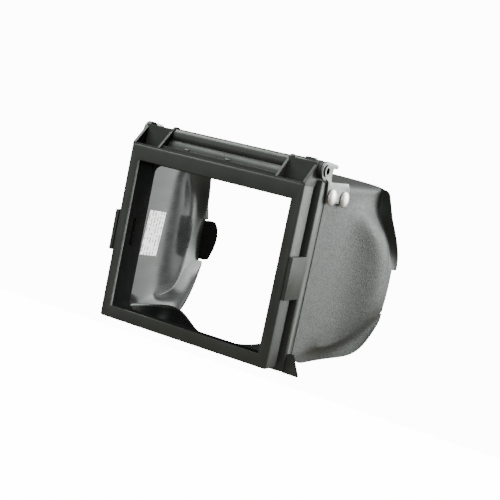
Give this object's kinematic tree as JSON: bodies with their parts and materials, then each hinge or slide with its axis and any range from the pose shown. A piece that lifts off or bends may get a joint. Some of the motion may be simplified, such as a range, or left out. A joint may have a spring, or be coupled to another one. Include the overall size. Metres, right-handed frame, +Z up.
{
  "type": "flip-up viewing hood",
  "caption": "Black clip-on viewing hood with a rectangular mount frame, a spring hinge along its top, a leather-grained face-shaped shade and rubber temple flaps.",
  "frame": {"origin": "middle of the bottom bar's front face, where the frame lies on the viewfinder", "axes": "+X to the hood's right seen from the viewfinder side, +Y back towards the user's face, +Z up"},
  "size_m": [0.1902, 0.1678, 0.1665],
  "materials": {
    "black_plastic": "satin",
    "tube_black": "semi-gloss",
    "bush_plastic": "matt",
    "black_rubber": "matt",
    "grained_hood": "leather grain, satin",
    "nickel_cap": "polished",
    "paper_label": "matt",
    "plated_steel": "satin"
  },
  "bodies": {
    "frame": {"front_frame": "black_plastic", "rear_frame": "black_plastic", "lower_guard": "black_plastic", "hinge_tube": "tube_black", "inner_bush_left": "bush_plastic", "inner_bush_right": "bush_plastic", "end_bush_left": "bush_plastic", "end_bush_right": "bush_plastic", "bay_collar": "tube_black", "torsion_spring": "plated_steel", "beam_screw_left": "plated_steel", "beam_screw_right": "plated_steel"},
    "hood": {"hood_shell": "grained_hood", "hinge_shaft": "plated_steel", "hinge_bracket_left": "plated_steel", "hinge_bracket_right": "plated_steel", "temple_flap_left": "black_rubber", "temple_flap_right": "black_rubber", "label_plate": "paper_label", "cap_rivet_front_left": "nickel_cap", "burr_washer_front_left": "plated_steel", "cap_rivet_front_right": "nickel_cap", "burr_washer_front_right": "plated_steel", "cap_rivet_rear_left": "nickel_cap", "burr_washer_rear_left": "plated_steel", "cap_rivet_rear_right": "nickel_cap", "burr_washer_rear_right": "plated_steel"}
  },
  "joints": [
    {"name": "hood_tilt", "type": "hinge", "parent": "frame", "child": "hood", "pos_m": [0, 0.021, 0.14295], "axis": [1, 0, 0], "range_deg": [0, 110]}
  ]
}
